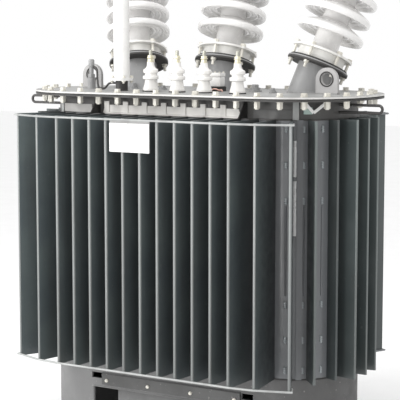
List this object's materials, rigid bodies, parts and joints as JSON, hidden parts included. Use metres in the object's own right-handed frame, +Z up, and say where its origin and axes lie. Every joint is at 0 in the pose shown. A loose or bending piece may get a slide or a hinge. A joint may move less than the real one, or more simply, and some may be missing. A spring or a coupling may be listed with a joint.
{
  "type": "power transformer",
  "caption": "Oil-filled three-phase transformer: finned tank with rounded corners on a skirt base, bolted cover, leaning porcelain high-voltage bushings and a row of low-voltage ones.",
  "frame": {"origin": "on the ground, under the middle of the tank", "axes": "+X along the tank, +Y to the back, where the high-voltage bushings lean, +Z up; the low-voltage side faces -Y"},
  "size_m": [1.832, 1.078, 2.3391],
  "materials": {
    "tank_paint": "satin grey paint",
    "cover_paint": "satin light grey paint",
    "dark_metal": "dark painted flange metal",
    "bright_steel": "zinc-plated steel",
    "clamp_casting": "cast, light grey",
    "porcelain": "glazed porcelain",
    "seal_rubber": "matt black rubber",
    "stud_brass": "plain brass",
    "tube_paint": "gloss white paint",
    "switch_cover": "pale grey plastic",
    "nameplate_metal": "bare plate"
  },
  "bodies": {
    "root": {"base_skirt": "tank_paint", "corner_strips": "tank_paint", "cover_gasket": "seal_rubber", "cover_plate": "cover_paint", "earth_terminal": "bright_steel", "front_base_beam": "tank_paint", "front_fin_rods": "tank_paint", "front_fins": "tank_paint", "front_skid": "tank_paint", "hv_clamp_rings": "clamp_casting", "hv_gaskets": "seal_rubber", "hv_porcelain_left": "porcelain", "hv_porcelain_middle": "porcelain", "hv_porcelain_right": "porcelain", "hv_terminal_left": "bright_steel", "hv_terminal_middle": "bright_steel", "hv_terminal_right": "bright_steel", "hv_turret_left": "cover_paint", "hv_turret_middle": "cover_paint", "hv_turret_right": "cover_paint", "left_end_fins": "tank_paint", "left_lashing_hook": "dark_metal", "left_lifting_lug": "cover_paint", "lv_bushings": "porcelain", "lv_gaskets": "seal_rubber", "lv_studs": "stud_brass", "nameplate": "nameplate_metal", "nameplate_bracket": "cover_paint", "oil_gauge_flange": "tube_paint", "oil_gauge_stub": "cover_paint", "oil_gauge_tube": "tube_paint", "rear_base_beam": "tank_paint", "rear_fin_rods": "tank_paint", "rear_fins": "tank_paint", "rear_skid": "tank_paint", "right_end_fins": "tank_paint", "right_lashing_hook": "dark_metal", "right_lifting_lug": "cover_paint", "tank_flange": "cover_paint", "tank_floor": "tank_paint", "tank_wall": "tank_paint", "tap_switch_base": "cover_paint", "tap_switch_box": "switch_cover", "thermometer_pocket": "bright_steel", "upper_belt": "tank_paint"}
  },
  "joints": []
}
